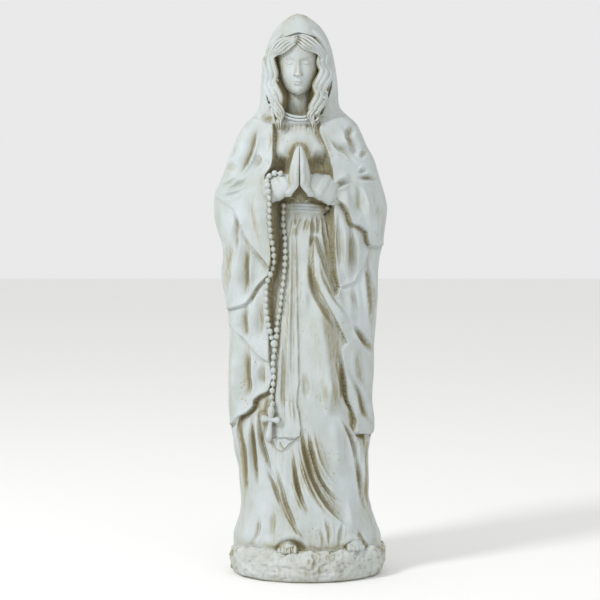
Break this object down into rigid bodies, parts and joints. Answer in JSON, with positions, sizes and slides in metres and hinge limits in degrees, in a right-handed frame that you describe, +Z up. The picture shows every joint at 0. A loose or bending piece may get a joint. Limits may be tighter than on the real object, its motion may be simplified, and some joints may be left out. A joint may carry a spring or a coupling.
{
  "type": "praying madonna garden statue",
  "caption": "Free-standing cast statue of a veiled woman at prayer, palms joined, with a carved rosary, a draped mantle and an oval rocky base.",
  "frame": {"origin": "on the ground, at the middle of the statue's bounding box", "axes": "+Z up, the figure faces -Y, its right hand is on the -X side"},
  "size_m": [0.1834, 0.1362, 0.595],
  "materials": {
    "antique_stone": "matte stone-filled resin with a brown wash in the recesses",
    "stone_base": "matte rough stone-filled resin with a brown wash"
  },
  "bodies": {
    "root": {"base_plate": "stone_base", "collar": "antique_stone", "crucifix": "antique_stone", "foot_left": "antique_stone", "foot_right": "antique_stone", "gown_bodice": "antique_stone", "gown_skirt": "antique_stone", "hair_left": "antique_stone", "hair_right": "antique_stone", "hand_left": "antique_stone", "hand_right": "antique_stone", "head": "antique_stone", "mantle_back": "antique_stone", "mantle_left_front": "antique_stone", "mantle_left_hem": "antique_stone", "mantle_left_turnback": "antique_stone", "mantle_right_cascade": "antique_stone", "mantle_right_front": "antique_stone", "mantle_right_hem": "antique_stone", "mantle_right_turnback": "antique_stone", "mantle_swag": "antique_stone", "plinth": "stone_base", "rosary_centre_bead": "antique_stone", "rosary_drop_beads": "antique_stone", "rosary_inner_beads": "antique_stone", "rosary_outer_beads": "antique_stone", "rosary_wrist_beads": "antique_stone", "sash_band": "antique_stone", "sash_knot": "antique_stone", "sash_tail": "antique_stone", "sleeve_left": "antique_stone", "sleeve_right": "antique_stone", "veil": "antique_stone"}
  },
  "joints": []
}
